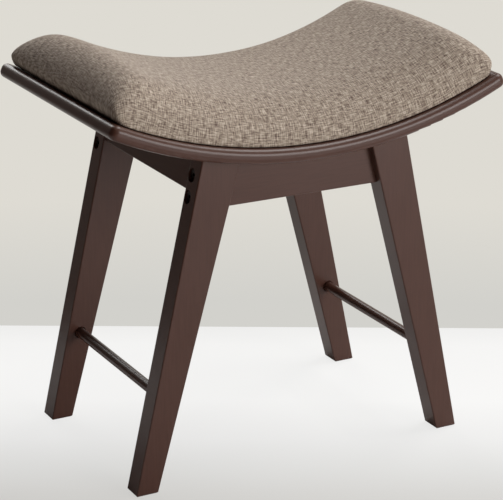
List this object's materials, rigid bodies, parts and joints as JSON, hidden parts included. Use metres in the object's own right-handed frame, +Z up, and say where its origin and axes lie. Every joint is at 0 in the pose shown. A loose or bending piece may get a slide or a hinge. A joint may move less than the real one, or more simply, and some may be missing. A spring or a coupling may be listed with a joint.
{
  "type": "stool",
  "caption": "Backless vanity stool with a saddle-bent seat board, a fabric-covered pad, splayed wooden legs and a round stretcher at each end.",
  "frame": {"origin": "on the floor, under the middle of the seat", "axes": "+X along the stool to the right as seen from the front, +Y to the back, +Z up"},
  "size_m": [0.4746, 0.3, 0.464],
  "materials": {
    "painted_wood": "satin brown paint on solid wood and moulded plywood",
    "bare_wood": "unpainted",
    "dark_steel": "dark bronze",
    "zinc_steel": "zinc plated",
    "glide_plastic": "moulded, brown",
    "seat_foam": "soft open-cell foam",
    "linen_fabric": "heathered taupe linen weave"
  },
  "bodies": {
    "root": {"front_apron": "painted_wood", "rear_apron": "painted_wood", "front_left_leg": "painted_wood", "front_right_leg": "painted_wood", "rear_left_leg": "painted_wood", "rear_right_leg": "painted_wood", "front_left_glide": "glide_plastic", "front_right_glide": "glide_plastic", "rear_left_glide": "glide_plastic", "rear_right_glide": "glide_plastic", "left_end_apron": "painted_wood", "right_end_apron": "painted_wood", "left_stretcher": "painted_wood", "right_stretcher": "painted_wood", "left_seat_cleat": "bare_wood", "right_seat_cleat": "bare_wood", "apron_bolts": "dark_steel", "barrel_nuts": "zinc_steel", "end_apron_dowels": "bare_wood", "cleat_screws": "zinc_steel", "seat_screws": "zinc_steel", "seat_board": "painted_wood", "pad_base": "bare_wood", "pad_foam": "seat_foam", "pad_cover": "linen_fabric", "cover_staples": "zinc_steel", "pad_bolts": "zinc_steel", "pad_tee_nuts": "zinc_steel"}
  },
  "joints": []
}
